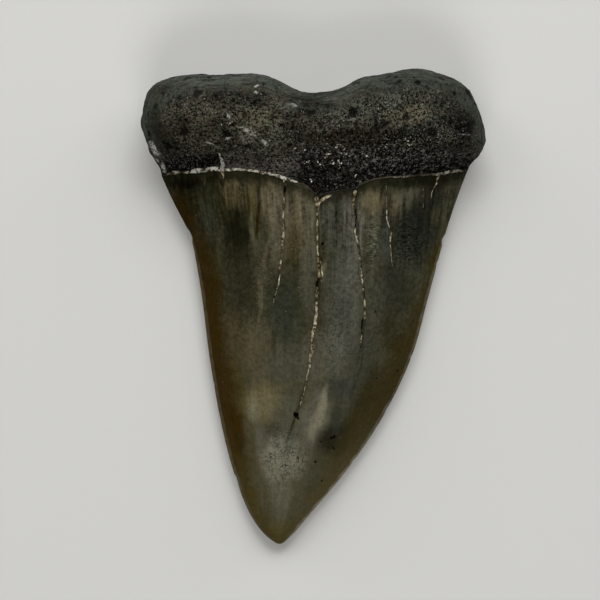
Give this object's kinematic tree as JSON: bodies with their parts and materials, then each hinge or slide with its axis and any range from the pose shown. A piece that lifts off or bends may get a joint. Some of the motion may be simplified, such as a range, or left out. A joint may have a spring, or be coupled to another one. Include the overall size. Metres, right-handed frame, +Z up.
{
  "type": "fossil mako shark tooth",
  "caption": "Fossil shark tooth: a broad, pointed enamel crown with smooth cutting edges and drying cracks, on a thick lobed root, lying on its flat outer face.",
  "frame": {"origin": "middle of the tooth's length and width, on the surface that it lies on", "axes": "+Y from the tip to the root, +X to the tooth's right seen from above, +Z up out of its inner (lingual) face"},
  "size_m": [0.0452, 0.0622, 0.0126],
  "materials": {
    "tooth": "polished olive-brown enamel on the crown, matt dark bone on the root"
  },
  "bodies": {
    "root": {"tooth": "tooth"}
  },
  "joints": []
}
